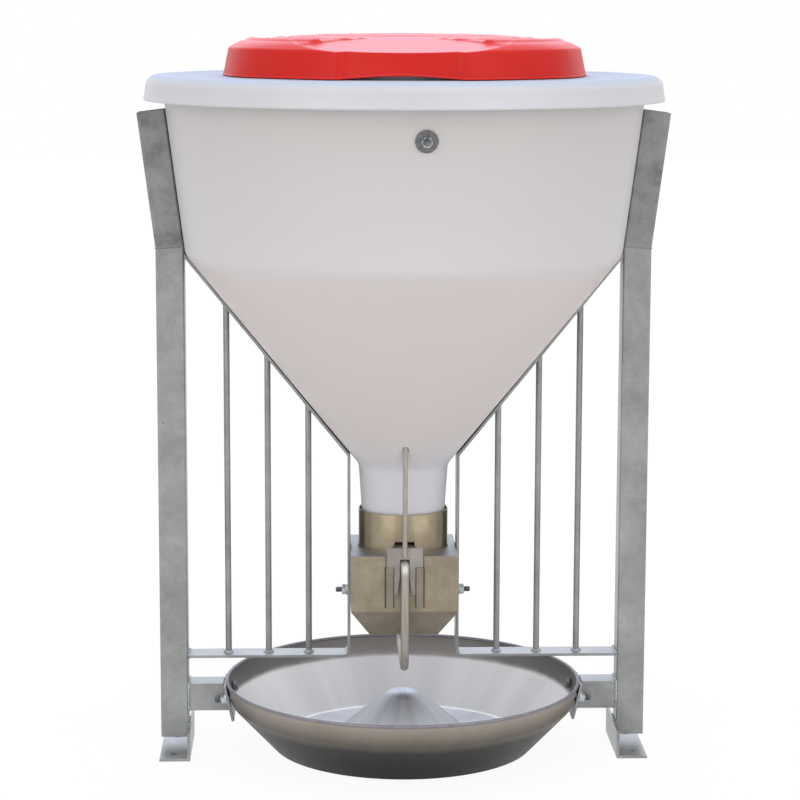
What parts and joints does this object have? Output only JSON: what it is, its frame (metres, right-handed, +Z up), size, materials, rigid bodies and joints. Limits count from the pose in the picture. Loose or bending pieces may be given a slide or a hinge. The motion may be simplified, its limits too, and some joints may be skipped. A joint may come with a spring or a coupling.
{
  "type": "pig feeder",
  "caption": "Round hopper pig feeder: plastic bin with cover and lid in a welded two-leg stand with guard bars, over a steel outlet with a stirring lever and a round bowl.",
  "frame": {"origin": "on the floor, midway between the legs, under the middle of the hopper", "axes": "+Z up, X across the stand from leg to leg, front (the side with the feed gate) towards -Y"},
  "size_m": [0.7486, 0.7296, 1.0311],
  "materials": {
    "galvanised": "hot-dip galvanised, dull spangle",
    "stainless_box": "mill-finish stainless sheet",
    "stainless_bar": "satin stainless bar",
    "stainless_bowl": "satin spun stainless",
    "zinc_fastener": "zinc plated",
    "hopper_pe": "natural polyethylene, slightly translucent",
    "cover_pe": "white polyethylene",
    "lid_red": "glossy red polyethylene"
  },
  "bodies": {
    "stand": {"left_leg": "galvanised", "right_leg": "galvanised", "left_upright": "galvanised", "right_upright": "galvanised", "left_foot": "galvanised", "right_foot": "galvanised", "left_guard_strip": "galvanised", "right_guard_strip": "galvanised", "left_guard_rods": "galvanised", "right_guard_rods": "galvanised", "left_bowl_bracket": "galvanised", "right_bowl_bracket": "galvanised", "left_bowl_plate": "galvanised", "right_bowl_plate": "galvanised", "bowl": "stainless_bowl", "bowl_bolts": "zinc_fastener", "bowl_washers": "zinc_fastener", "bowl_nuts": "zinc_fastener", "hopper": "hopper_pe", "hopper_bolt": "zinc_fastener", "hopper_washers": "zinc_fastener", "hopper_nut": "zinc_fastener", "collar": "stainless_box", "outlet_box": "stainless_box", "left_gate_guide": "stainless_box", "right_gate_guide": "stainless_box", "box_bolts": "zinc_fastener", "box_washers": "zinc_fastener", "box_nuts": "zinc_fastener"},
    "lever": {"feed_lever": "stainless_bar", "stirrer": "stainless_bar"},
    "gate": {"feed_gate": "stainless_box", "pull_rod": "stainless_bar"},
    "cover": {"hopper_cover": "cover_pe"},
    "lid": {"filler_lid": "lid_red"}
  },
  "joints": [
    {"name": "lever_swing", "type": "hinge", "parent": "stand", "child": "lever", "pos_m": [0, 0, 0.288], "axis": [0, 1, 0], "range_deg": [-25, 25]},
    {"name": "gate_lift", "type": "slide", "parent": "stand", "child": "gate", "axis": [0, 0, 1], "range_m": [0, 0.005]},
    {"name": "cover_lift", "type": "slide", "parent": "stand", "child": "cover", "axis": [0, 0, 1], "range_m": [0, 0.15]},
    {"name": "lid_lift", "type": "slide", "parent": "cover", "child": "lid", "axis": [0, 0, 1], "range_m": [0, 0.15]}
  ]
}
